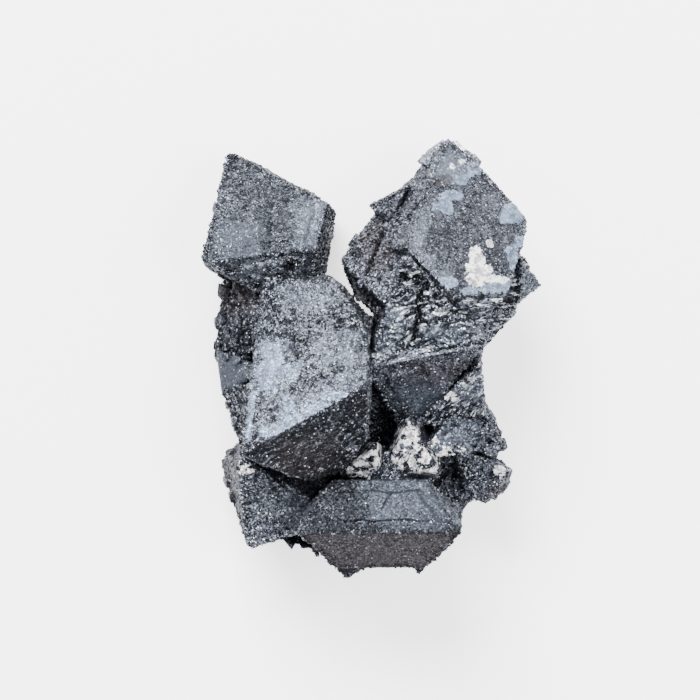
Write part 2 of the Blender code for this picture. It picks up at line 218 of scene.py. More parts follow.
# Druse, the small crystals on the large ones, as the solid has it: host, how many, smallest and
# largest half height, and the side that they favour.
DRUSES = (
    ("left_crown", 16, 0.5, 0.9, (0.9, -0.4, 0.4)),
    ("left_crown_rear", 12, 0.7, 1.5, (-0.4, -0.7, -0.1)),
    ("left_flank", 14, 0.8, 1.6, (-0.6, 0.0, 0.6)),
    ("left_flank_low", 8, 0.7, 1.3, (-0.8, -0.1, 0.1)),
    ("left_hip", 10, 0.7, 1.3, (-0.7, -0.2, 0.5)),
    ("left_foot", 12, 0.7, 1.4, (-0.4, -0.6, 0.1)),
    ("toe_inner", 5, 0.6, 1.0, (0.0, -0.8, 0.2)),
    ("toe_left", 5, 0.6, 1.0, (0.0, -0.8, 0.0)),
    ("toe_right", 5, 0.6, 1.0, (0.3, -0.8, 0.0)),
    ("right_flank", 22, 0.8, 1.7, (0.5, 0.2, 0.7)),
    ("right_foot", 8, 0.6, 1.0, (0.6, -0.5, 0.2)),
    ("right_crown_step", 12, 0.7, 1.4, (0.5, -0.7, 0.1)),
    ("right_crown_rear", 10, 0.7, 1.3, (-0.8, 0.3, 0.1)),
    ("right_tip", 4, 0.5, 0.8, (0.7, 0.0, 0.2)),
    ("wing", 8, 0.6, 1.0, (-0.7, 0.1, 0.5)),
    ("root_low", 10, 0.9, 1.8, (0.5, -0.6, 0.2)),
    ("root_right", 8, 0.9, 1.8, (0.8, 0.1, 0.3)),
    ("root_high", 8, 0.9, 1.8, (0.0, 0.7, 0.4)),
)

# How each crystal is finished: grid spacing, relief of its grains and the size of its crust
# crystals, in millimetres, how much of it the crust covers, and how light it is.
Finish = namedtuple("Finish", "spacing bump crust cover tone")
FINISHES = {
    "left_crown": Finish(0.28, 0.07, 0.21, 0.75, 0.00),
    "left_crown_rear": Finish(0.46, 0.10, 0.30, 0.8, -0.05),
    "left_shoulder": Finish(0.28, 0.08, 0.20, 0.55, 0.10),
    "front_foot": Finish(0.28, 0.05, 0.18, 0.45, 0.02),
    "left_foot": Finish(0.28, 0.07, 0.22, 0.75, -0.05),
    "right_waist": Finish(0.26, 0.08, 0.22, 0.5, 0.0),
    "right_saddle": Finish(0.24, 0.10, 0.24, 0.55, 0.05),
    "crown_cap": Finish(0.24, 0.08, 0.2, 0.6, 0.55),
    "right_crown": Finish(0.28, 0.05, 0.18, 0.7, 0.02),
    "right_crown_rear": Finish(0.36, 0.10, 0.28, 0.8, -0.05),
    "right_crown_step": Finish(0.34, 0.10, 0.28, 0.7, -0.05),
    "right_foot": Finish(0.24, 0.06, 0.22, 0.6, 0.05),
    "right_strip": Finish(0.28, 0.12, 0.30, 0.6, 0.1),
    "right_flank": Finish(0.26, 0.12, 0.30, 0.9, -0.1),
    "right_tip": Finish(0.26, 0.08, 0.22, 0.7, 0.3),
    "left_flank": Finish(0.30, 0.12, 0.28, 0.8, -0.36),
    "left_flank_low": Finish(0.28, 0.05, 0.22, 0.35, -0.1),
    "left_hip": Finish(0.28, 0.10, 0.26, 0.8, -0.18),
    "wing": Finish(0.28, 0.10, 0.24, 0.7, -0.05),
    "wing_foot": Finish(0.26, 0.10, 0.26, 0.6, -0.05),
    "crown_bud": Finish(0.24, 0.07, 0.2, 0.6, 0.0),
    "silver_left": Finish(0.24, 0.03, 0.2, 0.12, 0.1),
    "silver_right": Finish(0.24, 0.03, 0.2, 0.15, 0.1),
    "toe_left": Finish(0.28, 0.08, 0.24, 0.6, 0.15),
    "toe_right": Finish(0.28, 0.08, 0.24, 0.6, -0.1),
    "toe_inner": Finish(0.28, 0.08, 0.24, 0.6, -0.1),
}
ROOT_FINISH = Finish(0.50, 0.12, 0.34, 0.8, -0.15)     # for the crystals that fill the base


def faces(crystal):
    """The eight faces as {key: (outward unit direction, distance from the frame's origin)}."""
    centre = np.array(crystal.centre)
    axes = np.linalg.inv((np.array(crystal.tips) - centre).T)
    found = {}
    for signs in itertools.product((1, -1), repeat=3):
        key = "".join("+" if sign > 0 else "-" for sign in signs)
        slope = np.array(signs) @ axes
        length = np.linalg.norm(slope)
        found[key] = (slope / length, (crystal.reach.get(key, 1.0) + slope @ centre) / length)
    return found


def face_gaps(name, points):
    """The keys of a crystal's faces, and how far each point lies inside each face's plane."""
    table = faces(CRYSTALS[name])
    return list(table), np.stack([reach - points @ unit for unit, reach in table.values()], 1)


def bounding_planes(crystal):
    """Unit directions and distances of the faces, the flats and the broken base, as two arrays."""
    planes = list(faces(crystal).values())
    for point, direction in crystal.flats:
        unit = np.array(direction) / np.linalg.norm(direction)
        planes.append((unit, unit @ np.array(point)))
    planes.append((np.array((0.0, 0.0, -1.0)), 0.0))
    return np.array([unit for unit, _ in planes]), np.array([reach for _, reach in planes])


NEARLY_PARALLEL = 1e-4      # three planes whose directions span less than this have no corner
TOUCHING = 1e-6             # how far past a plane a corner on it may come out


def heart(units, reaches):
    """A point well inside the planes: the mean of the corners where three of them meet."""
    corners = []
    for trio in itertools.combinations(range(len(units)), 3):
        rows = list(trio)
        if abs(np.linalg.det(units[rows])) > NEARLY_PARALLEL:
            corner = np.linalg.solve(units[rows], reaches[rows])
            if np.all(units @ corner <= reaches + TOUCHING):
                corners.append(corner)
    return np.mean(corners, axis=0)


# ------------------------------
# Numbers over the surface
HASH_FACTORS = [np.uint32(factor) for factor in (73856093, 19349663, 83492791)]
HASH_ROUNDS = ((15, 2246822519), (13, 3266489917), (16, 1))     # how far bits move, and a factor
HASH_RANGE = 2 ** 32
SALT_FACTOR, SALT_START = 2654435, 97


def scramble(cells, salt):
    """A repeatable number from 0 to 1 for each whole-number cell (x, y, z): an integer hash."""
    cells = cells.astype(np.int64).astype(np.uint32)
    mixed = np.uint32((salt * SALT_FACTOR + SALT_START) % HASH_RANGE)
    for axis, factor in enumerate(HASH_FACTORS):
        mixed = mixed ^ cells[..., axis] * factor
    for shift, factor in HASH_ROUNDS:
        mixed ^= mixed >> np.uint32(shift)
        mixed *= np.uint32(factor)
    return mixed / (HASH_RANGE - 1.0)


def cloud(points, size, salt):
    """Smooth noise from 0 to 1: hashed lattice values, blended with the cubic 3t^2 - 2t^3."""
    scaled = points / size
    low = np.floor(scaled)
    part = scaled - low
    part = part * part * (3.0 - 2.0 * part)
    total = np.zeros(len(points))
    for corner in itertools.product((0, 1), repeat=3):
        weight = np.prod(np.where(np.array(corner) == 1, part, 1.0 - part), axis=1)
        total += weight * scramble(low + np.array(corner), salt)
    return total


def layered_cloud(points, size, salt):
    """Three clouds of halving size and weight, as a number from 0 to 1."""
    return (4.0 * cloud(points, size, salt) + 2.0 * cloud(points, size / 2.0, salt + 1)
            + cloud(points, size / 4.0, salt + 2)) / 7.0


def ramp(values, low, high):
    """0 below low, 1 above high and the cubic 3t^2 - 2t^3 between."""
    part = np.clip((values - low) / (high - low), 0.0, 1.0)
    return part * part * (3.0 - 2.0 * part)


# Grains: the size of a seed's cell, how high a grain stands for each cell of half height, and
# the share of cells that have a seed.
Grains = namedtuple("Grains", "size height share")
COARSE = Grains(0.95, 0.19, 0.45)
FINE = Grains(0.46, 0.16, 0.75)
DRUSE_GRAINS = Grains(0.42, 0.10, 0.6)
SEED_WANDER = 0.8                     # how far seeds move about in their cells
LEAST_HALF, MORE_HALF = 0.45, 0.6     # smallest half height in cells, and the most added to it


def grain_height(points, kind, salt):
    """Height of small octahedra grown on a surface, in units of their size.

    One seed lies in each lattice cell, moved about by a hash. A seed's octahedron is its half
    height less the sum of the three distances along the axes, and the highest one shows.
    """
    scaled = points / kind.size
    low = np.floor(scaled)
    height = np.zeros(len(points))
    for step in itertools.product((-1, 0, 1), repeat=3):
        cell = low + np.array(step)
        moved = np.stack([scramble(cell, salt + k) for k in range(3)], 1) - 0.5
        seed = cell + 0.5 + SEED_WANDER * moved
        half = LEAST_HALF + MORE_HALF * scramble(cell, salt + 5)
        half = np.where(scramble(cell, salt + 4) < kind.share, half, 0.0)
        height = np.maximum(height, half - np.abs(scaled - seed).sum(axis=1))
    return height


# ------------------------------
# Surfaces
EDGE_SHARPNESS = 90.0       # higher leaves crisper edges between faces
FRONT_PULL = 0.35           # makes the grids finer towards the front
REACH_SHARE = 1.35          # how far a crystal reaches over the distance of its middle plane
PLATE_WANDER = 1.5          # how far the borders of the growth layers wander
PLATE_SLOPE = 0.25          # width of their sloping edge
RELIEF_DEPTH = 0.8          # no relief is worked out deeper than this inside another crystal
BASE_FACING = -0.98         # nor where a surface looks down as straight as this
SLOWEST = 1e-3              # a way that nears a hollow's wall more slowly runs along it


def direction_grid(count):
    """Unit directions over a sphere and the four-sided cells between them.

    Each of a cube's six sides has a grid of two parameters from -1 to 1. tan(parameter * pi / 4)
    spreads the rows evenly in angle. Points on shared cube edges are merged. Adding FRONT_PULL
    to z draws the directions together towards the front, where the cells become smaller.
    """
    rows = np.tan(np.linspace(-1.0, 1.0, count + 1) * math.pi / 4.0)
    u, v = np.meshgrid(rows, rows, indexing="ij")
    one = np.ones_like(u)
    sides = [(one, u, v), (-one, v, u), (v, one, u), (u, -one, v), (u, v, one), (v, u, -one)]
    points = np.concatenate([np.stack(side, -1).reshape(-1, 3) for side in sides])
    corner = (np.arange(count)[:, None] * (count + 1) + np.arange(count)[None, :]).ravel()
    cell = np.stack([corner, corner + count + 1, corner + count + 2, corner + 1], 1)
    cells = np.concatenate([cell + side * (count + 1) ** 2 for side in range(6)])
    _, first, merged = np.unique(np.round(points, 6), axis=0, return_index=True,
                                 return_inverse=True)
    points = points[first]
    points /= np.linalg.norm(points, axis=1)[:, None]
    points[:, 2] += FRONT_PULL
    return points / np.linalg.norm(points, axis=1)[:, None], merged.ravel()[cells]


def convex_surface(units, reaches, spacing, most=118, least=10):
    """A surface inside planes: how far each direction reaches before the first plane stops it.

    A direction d from the heart reaches min(h / (n . d)) over the planes n with distance h. The
    least is taken softly, as (sum of (n . d / h)^p)^(-1/p), which rounds the edges a little.
    """
    middle = heart(units, reaches)
    room = reaches - units @ middle
    size = float(np.median(room))
    count = int(np.clip(size * REACH_SHARE * math.pi / 2.0 / spacing, least, most))
    directions, cells = direction_grid(count)
    closeness = np.maximum(directions @ units.T, 1e-4) / room
    power = closeness ** EDGE_SHARPNESS
    total = power.sum(axis=1)
    reach = total ** (-1.0 / EDGE_SHARPNESS)
    normal = (power / total[:, None]) @ units
    normal /= np.linalg.norm(normal, axis=1)[:, None]
    return middle + directions * reach[:, None], normal, cells


def plate_rise(name, points):
    """Height of the growth layers: each plate covers the part of its face that lies farther from
    every other face than its inset, give or take a cloud that makes its border uneven."""
    rise = np.zeros(len(points))
    keys, gaps = face_gaps(name, points)
    own = np.argmin(gaps, axis=1)
    uneven = PLATE_WANDER * (layered_cloud(points, 2.4, 19) - 0.5)
    for host, face, height, inset in LAYERS:
        if host == name:
            row = keys.index(face)
            others = np.delete(gaps, row, axis=1).min(axis=1)
            plate = height * ramp(others + uneven, inset, inset + PLATE_SLOPE)
            rise = np.maximum(rise, np.where(own == row, plate, 0.0))
    return rise


def edge_distance(name, points):
    """Distance of a point on one face from the next nearest plane of its crystal."""
    units, reaches = bounding_planes(CRYSTALS[name])
    gaps = np.sort(reaches - points @ units.T, axis=1)
    return gaps[:, 1]


def pit_depth(name, points, normals):
    """How far a point lies from a hollow's far wall, looking inwards; 0 outside the hollows."""
    depth = np.zeros(len(points))
    for host, centre, half_height in PITS:
        if host != name:
            continue
        units = np.array([unit for unit, _ in faces(CRYSTALS[host]).values()])
        room = half_height / math.sqrt(3.0) - (points - np.array(centre)) @ units.T
        speed = -normals @ units.T
        leave = room / np.maximum(speed, SLOWEST)
        leave = np.where(speed > SLOWEST, leave, np.inf).min(axis=1)
        depth = np.maximum(depth, np.where(room.min(axis=1) > 0.0, leave, 0.0))
    return depth


def depth_inside(points, skip):
    """How deep points lie inside the deepest of the other crystals; negative outside all."""
    deepest = np.full(len(points), -np.inf)
    for name, crystal in CRYSTALS.items():
        if name != skip:
            units, reaches = bounding_planes(crystal)
            deepest = np.maximum(deepest, (reaches - points @ units.T).min(axis=1))
    return deepest


def sheet_of(name, points, cells, attributes, material):
    """A mesh object from whole arrays, with a number per point for each attribute."""
    mesh = bpy.data.meshes.new(name)
    mesh.vertices.add(len(points))
    mesh.vertices.foreach_set("co", ((points - BASE_MIDDLE) * MM).astype(np.float32).ravel())
    corners = cells.shape[1]
    mesh.loops.add(cells.size)
    mesh.loops.foreach_set("vertex_index", cells.astype(np.int32).ravel())
    mesh.polygons.add(len(cells))
    mesh.polygons.foreach_set("loop_start", np.arange(0, cells.size, corners, dtype=np.int32))
    for key, values in attributes.items():
        layer = mesh.attributes.new(key, "FLOAT", "POINT")
        layer.data.foreach_set("value", values.astype(np.float32))
    mesh.update(calc_edges=True)
    mesh.validate()
    mesh.materials.append(material)
    piece = bpy.data.objects.new(name, mesh)
    bpy.context.scene.collection.objects.link(piece)
    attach(piece, "root")
    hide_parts(NODE)


# ------------------------------
# Where the finish changes: for a crystal and one of its faces, or "" for all of them, the middle
# and the three radii of each spot.
# Silver spots are smooth areas whose near-white colour is a painted reflection
SILVER_SPOTS = {
    ("silver_left", ""): (
        ((-2.2, -14.4, 20.0), (2.6, 2.2, 5.0)), ((0.0, -12.2, 21.0), (1.4, 2.0, 5.0))),
    ("silver_right", ""): (
        ((4.2, -11.0, 19.5), (2.0, 2.6, 5.0)), ((6.0, -13.6, 18.0), (2.8, 1.6, 5.0))),
    ("right_flank", "+++"): (
        ((9.6, -12.6, 17.5), (2.8, 1.0, 4.0)), ((7.4, -10.6, 18.5), (1.6, 1.2, 4.0))),
    ("right_crown", "+++"): (
        ((13.6, 13.0, 24.0), (1.0, 1.5, 5.0)), ((13.8, 10.9, 25.0), (2.0, 1.4, 5.0)),
        ((16.1, 10.4, 24.5), (1.6, 0.6, 5.0)), ((15.3, 14.8, 23.0), (0.45, 0.5, 4.0)),
        ((12.0, 26.3, 18.0), (0.6, 0.4, 5.0)), ((10.4, 25.6, 18.5), (0.6, 0.5, 5.0))),
    ("crown_cap", ""): (((10.9, 27.7, 16.0), (2.1, 1.4, 5.0)),),
    ("left_foot", "+++"): (((-15.9, -14.4, 19.0), (2.0, 0.7, 4.0)),),
    ("right_foot", "+++"): (((17.4, -14.9, 16.0), (1.0, 0.9, 3.0)),),
    ("right_strip", "+++"): (
        ((12.6, -3.0, 21.0), (1.3, 0.7, 4.0)), ((10.6, -4.9, 20.0), (1.3, 0.7, 4.0))),
}
PALE_SPOTS = {
    ("left_shoulder", "+++"): (
        ((-13.1, 0.4, 27.0), (1.5, 1.8, 6.0)), ((-13.8, -2.4, 28.0), (1.5, 2.0, 6.0)),
        ((-10.8, -1.7, 28.0), (1.4, 1.0, 6.0)), ((-15.9, -7.2, 29.0), (0.7, 3.0, 6.0)),
        ((-10.8, -6.0, 29.0), (0.6, 1.5, 4.0)), ((-12.8, -9.3, 30.5), (1.8, 0.9, 4.0)),
        ((-10.2, -7.8, 30.5), (1.8, 0.9, 4.0)), ((-7.6, -6.4, 30.5), (1.8, 0.9, 4.0)),
        ((-4.9, -4.8, 31.0), (1.6, 0.8, 4.0))),
    ("right_crown", "+++"): (
        ((9.4, 20.1, 22.0), (1.5, 0.85, 5.0)), ((10.3, 21.7, 21.0), (1.5, 1.0, 5.0)),
        ((11.9, 23.9, 19.5), (1.05, 0.8, 5.0)), ((13.5, 25.2, 18.0), (1.1, 1.0, 5.0)),
        ((18.6, 19.2, 18.5), (1.6, 1.2, 5.0)), ((19.5, 15.2, 21.0), (0.85, 0.8, 5.0)),
        ((18.6, 12.8, 22.0), (0.8, 1.8, 5.0)), ((16.4, 9.2, 24.0), (3.6, 0.8, 5.0)),
        ((12.4, 8.8, 27.0), (1.6, 0.7, 5.0)), ((9.4, 9.9, 29.0), (1.5, 0.7, 5.0))),
}
HAZE_SPOTS = {
    ("left_shoulder", "+++"): (
        ((-8.8, 8.4, 22.0), (3.4, 1.7, 6.0)), ((-13.4, -1.0, 27.0), (2.8, 4.2, 6.0)),
        ((-12.6, -9.2, 30.5), (2.4, 1.2, 5.0)), ((-10.0, -7.6, 30.5), (2.2, 1.5, 5.0)),
        ((-7.4, -6.0, 30.5), (2.4, 1.7, 5.0)), ((-4.8, -4.4, 31.0), (2.4, 1.7, 5.0)),
        ((-2.6, -3.0, 31.0), (2.0, 1.6, 5.0)), ((-4.4, 1.4, 29.0), (3.0, 2.4, 5.0))),
    ("left_crown", "+++"): (
        ((-8.0, 17.8, 17.0), (2.6, 3.6, 6.0)), ((-6.6, 20.8, 17.0), (1.6, 2.0, 6.0))),
    ("right_crown", "+++"): (
        ((6.0, 17.4, 26.0), (0.9, 4.0, 5.0)), ((6.6, 12.4, 28.0), (1.4, 1.2, 5.0)),
        ((8.6, 10.4, 29.0), (1.8, 1.0, 5.0)), ((10.0, 25.4, 19.0), (3.4, 1.8, 5.0)),
        ((16.4, 9.6, 24.0), (4.6, 1.4, 5.0))),
    ("crown_cap", ""): (((10.4, 27.0, 16.0), (4.0, 3.0, 6.0)),),
    ("right_waist", "++-"): (((6.0, 0.3, 26.2), (9.0, 1.6, 4.0)),),
    ("right_saddle", "+++"): (
        ((1.4, 1.6, 24.5), (1.6, 1.8, 4.0)), ((2.8, 5.0, 25.5), (1.2, 2.6, 4.0)),
        ((10.4, 3.4, 26.2), (3.4, 1.4, 4.0))),
    ("right_flank", "+++"): (((9.6, -9.4, 17.5), (4.0, 3.0, 5.0)),),
    ("right_strip", "+++"): (((12.0, -3.6, 21.0), (3.2, 2.4, 5.0)),),
}
SLATE_SPOTS = {
    ("front_foot", "+++"): (((5.6, -18.0, 25.0), (7.0, 4.4, 6.0)),),
    ("left_flank_low", ""): (((-19.4, -1.2, 14.0), (3.6, 3.4, 6.0)),),
    ("right_waist", "+++"): (((6.6, -4.4, 20.0), (4.0, 2.6, 6.0)),),
    ("left_crown", "+++"): (((-18.0, 15.4, 20.0), (3.6, 3.2, 5.0)),),
}
BROWN_SPOTS = {
    ("left_foot", ""): (((-19.6, -18.5, 12.0), (2.4, 6.5, 9.0)),),
    # The front foot's lower face: dark brown as painted shadow with a painted reddish reflection
    ("front_foot", "++-"): (((1.0, -25.2, 22.0), (14.0, 4.6, 9.0)),),
    ("right_crown", "+++"): (((8.9, 23.4, 20.0), (1.1, 0.8, 4.0)),),
    ("right_foot", ""): (((18.0, -18.6, 11.0), (3.2, 2.2, 6.0)),),
    ("right_waist", "+++"): (((8.4, -1.4, 22.0), (6.0, 1.8, 6.0)),),
    ("wing", ""): (((0.6, 14.6, 20.0), (2.6, 3.6, 6.0)),),
    ("left_shoulder", "++-"): (((-9.0, -13.0, 25.0), (5.0, 4.0, 6.0)),),
    # The left crown's underside: dark brown as painted shading under its overhang
    ("left_crown", "++-"): (((-17.5, 11.4, 17.0), (5.0, 1.8, 6.0)),),
    ("left_flank", ""): (((-18.6, 8.6, 14.0), (4.0, 3.0, 6.0)),),
    ("toe_left", ""): (((-3.2, -27.0, 15.0), (5.0, 4.0, 8.0)),),
}
SPOTS = {"silver": (SILVER_SPOTS, 71), "pale": (PALE_SPOTS, 77), "slate": (SLATE_SPOTS, 79),
         "brown": (BROWN_SPOTS, 83), "haze": (HAZE_SPOTS, 87)}     # each with its clouds' salt
SPOT_BLUR = 0.5             # closeness is kept between this and its negative
FAR_FROM_SPOTS = -2.0       # closeness where there is no spot

# Ledges that run along the edge between two tips: crystal, face, tips, then the height of a row,
# the length of a block in it, how far the blocks stand out, how much the rows bend and how
# strong the fine streaks along them are.
Ledges = namedtuple("Ledges", "crystal face edge row block rise bend streak")
LEDGES = (
    Ledges("right_crown", "++-", (0, 1), 0.75, 2.2, 0.45, 0.6, 1.5),
    Ledges("right_crown_step", "++-", (0, 1), 0.7, 1.6, 0.5, 0.8, 1.5),
    Ledges("right_crown_step", "+++", (0, 1), 0.8, 1.8, 0.5, 1.0, 1.0),
    Ledges("right_saddle", "+++", (0, 1), 0.9, 1.5, 0.60, 2.6, 0.9),
    Ledges("right_waist", "++-", (0, 1), 0.55, 3.0, 0.3, 0.3, 0.8),
    Ledges("right_strip", "+++", (0, 1), 0.8, 1.3, 0.40, 2.0, 1.1),
    Ledges("left_shoulder", "++-", (0, 1), 0.9, 1.6, 0.25, 2.4, 0.45),
    Ledges("left_hip", "+++", (0, 2), 0.7, 2.0, 0.5, 1.6, 0.6),
    Ledges("left_crown", "++-", (1, 2), 0.9, 2.4, 0.35, 1.0, 0.4),
    Ledges("wing", "++-", (0, 1), 0.8, 1.6, 0.5, 1.6, 0.5),
)

# Cracks: crystal, the two ends, and how wide and deep.
Crack = namedtuple("Crack", "crystal start end width depth")
CRACKS = (
    Crack("wing", (1.2, 16.3, 22.0), (-0.9, 11.3, 22.5), 0.27, 1.3),
    Crack("right_crown", (16.5, 5.5, 25.0), (14.3, 1.6, 23.0), 0.3, 0.8),
    Crack("right_saddle", (12.6, 3.4, 26.5), (12.8, 1.2, 26.5), 0.25, 0.7),
    Crack("right_saddle", (6.2, 8.4, 27.0), (5.9, 5.4, 26.5), 0.5, 1.1),
    Crack("right_saddle", (5.9, 5.4, 26.5), (5.3, 2.4, 26.0), 0.4, 0.8),
    Crack("front_foot", (3.4, -16.2, 24.0), (1.2, -19.6, 26.0), 0.16, 0.25),
)

# Faces that differ from the rest of their crystal: tone added, grain size against the rest, and
# how patchy the tone is.
FaceLook = namedtuple("FaceLook", "tone grain mottle")
FACE_LOOKS = {
    ("left_shoulder", "+++"): FaceLook(-0.12, 1.05, 1.3),
    # A darker tone here is painted shading of a face that looks down
    ("left_shoulder", "++-"): FaceLook(-0.42, 0.8, 0.5),
    ("right_waist", "+++"): FaceLook(0.05, 0.45, 0.6),
    ("right_waist", "++-"): FaceLook(0.20, 0.4, 0.6),
    ("right_crown", "+++"): FaceLook(-0.12, 0.5, 0.35),
    ("right_crown", "++-"): FaceLook(0.34, 0.2, 0.8),
    ("right_crown_step", "++-"): FaceLook(0.20, 0.2, 0.8),
    ("right_saddle", "+++"): FaceLook(0.25, 0.9, 1.1),
    ("right_strip", "+++"): FaceLook(0.20, 0.7, 1.2),
    ("right_flank", "+++"): FaceLook(0.10, 1.0, 1.0),
    ("left_crown", "+++"): FaceLook(-0.26, 0.5, 0.5),
    ("left_crown", "++-"): FaceLook(0.04, 0.8, 0.5),
    ("front_foot", "+++"): FaceLook(-0.58, 0.6, 0.25),
    # A darker tone here is a painted shadow on the foot's lower face
    ("front_foot", "++-"): FaceLook(-0.95, 0.35, 0.5),
    ("left_foot", "+++"): FaceLook(0.30, 1.0, 0.8),
    ("wing", "+++"): FaceLook(0.20, 0.7, 0.3),
}
PLAIN_LOOK = FaceLook(0.0, 1.0, 0.7)


def own_faces(name, points):
    """For each point the row of the face that it lies on, and the keys of all the faces."""
    keys, gaps = face_gaps(name, points)
    return np.argmin(gaps, axis=1), keys


def spot_closeness(name, points, own, keys, spots, salt):
    """Above 0 inside a crystal's spots and below 0 outside, with a border that wanders.

    The closeness of a spot is 1 less the distance from its middle in units of its radii, where
    distance is the fourth root of the summed fourth powers, which rounds a box. Three clouds
    bend the shapes first, and a fourth moves their borders in and out.
    """
    closest = np.full(len(points), FAR_FROM_SPOTS)
    bend = np.stack([layered_cloud(points, 1.7, salt + 7 + k) for k in range(3)], 1) - 0.5
    bent = points + 1.5 * bend
    for (crystal, face), shapes in spots.items():
        if crystal == name:
            on_face = own == keys.index(face) if face else np.ones(len(points), bool)
            for middle, radii in shapes:
                away = np.linalg.norm((bent - np.array(middle)) / np.array(radii), ord=4, axis=1)
                closest = np.where(on_face, np.maximum(closest, 1.0 - away), closest)
    wander = 0.8 * (layered_cloud(points, 1.1, salt) - 0.5)
    return np.clip(closest + wander, -SPOT_BLUR, SPOT_BLUR)


def finish_numbers(name, points):
    """For each point its face's look, and its closeness to the spots of each area."""
    own, keys = own_faces(name, points)
    looks = np.array([FACE_LOOKS.get((name, key), PLAIN_LOOK) for key in keys])[own]
    near = {label: spot_closeness(name, points, own, keys, spots, salt)
            for label, (spots, salt) in SPOTS.items()}
    return looks, near


def ledge_ways(name, points, ledges):
    """How far points lie across the rows of some ledges and along them, in rows and blocks."""
    tips = np.array(CRYSTALS[name].tips)
    along_way = tips[ledges.edge[1]] - tips[ledges.edge[0]]
    along_way /= np.linalg.norm(along_way)
    across_way = np.cross(faces(CRYSTALS[name])[ledges.face][0], along_way)
    bend = ledges.bend * (layered_cloud(points, 2.6, 57) - 0.5)
    return (points @ across_way / ledges.row + bend,
            points @ along_way / ledges.block + 0.5 * bend)


def ledge_rise(name, points):
    """Height of broken ledges, and how light they are: rows cut into blocks of uneven rise.

    A point's row is floor(across) and its block floor(along + a number for the row). A block's
    rise is its own number, with a slope that falls off across the row. Grooves between blocks
    are painted darker as shading, and each block has a lightness of its own.
    """
    own, keys = own_faces(name, points)
    rise = np.zeros(len(points))
    painted_shading = np.zeros(len(points))
    for ledges in LEDGES:
        if ledges.crystal != name:
            continue
        on_face = own == keys.index(ledges.face)
        across, along = ledge_ways(name, points, ledges)
        row = np.floor(across)
        along = along + 3.0 * scramble(np.stack([row, row, row], 1), 61)
        block = np.floor(along)
        number = scramble(np.stack([row, block, row], 1), 67)
        side = ramp(np.minimum(across - row, 1.0 - across + row), 0.0, 0.2)
        end = ramp(np.minimum(along - block, 1.0 - along + block), 0.0, 0.12)
        block_rise = ledges.rise * (0.3 * (across - row) + 0.7 * number * side * end)
        rise = np.where(on_face, block_rise, rise)
        light = scramble(np.stack([block, row, block], 1), 73)
        # Painted shading: dark grooves between blocks, and each block's own lightness
        block_painted_shading = 0.9 * (light ** 2 - 0.35) * side * end - 0.5 * (1.0 - side * end)
        painted_shading = np.where(on_face, block_painted_shading, painted_shading)
    return rise, painted_shading


def streak_numbers(name, points):
    """How strong the fine streaks of the ledges are, and how far points lie over and along them.

    Away from ledges the two distances are those of the crystal's first ledges, so that they
    don't jump at a face's edge.
    """
    own, keys = own_faces(name, points)
    numbers = {"streak": np.zeros(len(points)), "across": np.zeros(len(points)),
               "along": np.zeros(len(points))}
    first = True
    for ledges in LEDGES:
        if ledges.crystal == name:
            on_face = own == keys.index(ledges.face)
            across, along = ledge_ways(name, points, ledges)
            numbers["across"] = np.where(on_face | first, across, numbers["across"])
            numbers["along"] = np.where(on_face | first, along, numbers["along"])
            numbers["streak"] = np.where(on_face, ledges.streak, numbers["streak"])
            first = False
    return numbers


def crack_depth(name, points):
    """Depth of the cracks: full along each line between its ends, none past its width."""
    depth = np.zeros(len(points))
    wander = 0.35 * (layered_cloud(points, 1.2, 91) - 0.5)
    for crack in CRACKS:
        if crack.crystal == name:
            start = np.array(crack.start[:2])
            way = np.array(crack.end[:2]) - start
            part = np.clip((points[:, :2] - start) @ way / (way @ way), 0.0, 1.0)
            away = np.linalg.norm(points[:, :2] - start - part[:, None] * way, axis=1) + wander
            closed = ramp(away, 0.3 * crack.width, crack.width)
            depth = np.maximum(depth, crack.depth * (1.0 - closed))
    return depth


PLAIN_BUMP = 0.07           # the finish's bump that leaves grains at their own height
SWELL = 0.24                # how far a face rises and falls over a few millimetres
SINK = 0.08                 # how far faces are moved in, to make room for their relief


def relief(name, points, finish, salt):
    """Height over the plain faces, and how light each point is against its surroundings.

    Height is the sum of plates, ledges, coarse and fine grains and a slow swell, less cracks and
    pores. The lightness is painted shading: grain tops are painted lighter, and pores, cracks and
    grooves painted darker.
    """
    looks, near = finish_numbers(name, points)
    smooth = ramp(np.maximum.reduce([near["silver"], near["pale"], near["slate"]]), -0.05, 0.1)
    grain = looks[:, 1] * (1.0 - 0.8 * smooth) * finish.bump / PLAIN_BUMP
    rim = 1.0 - ramp(edge_distance(name, points), 0.0, 1.2)
    swell = SWELL * (layered_cloud(points, 3.2, salt) - 0.5)
    coarse = COARSE.height * (0.6 + 0.8 * rim) * grain_height(points, COARSE, salt + 11)
    fine = FINE.height * grain_height(points, FINE, salt + 21)
    pores = ramp(layered_cloud(points, 0.8, salt + 31), 0.62, 0.70)
    cracks = crack_depth(name, points)
    ledges, ledge_painted_shading = ledge_rise(name, points)
    grit = (coarse + fine - 0.4 * pores * finish.cover) * grain
    # Painted shading: lighter grain tops, and painted shadow in pores, cracks and ledge grooves
    painted_shading = (ledge_painted_shading + grain * (1.4 * (fine - 0.05) + 0.9 * (coarse - 0.04) - 0.7 * pores)
             - 1.4 * ramp(cracks, 0.05, 0.4))
    return plate_rise(name, points) + swell - SINK - cracks + ledges + grit + 0.1 * smooth, painted_shading


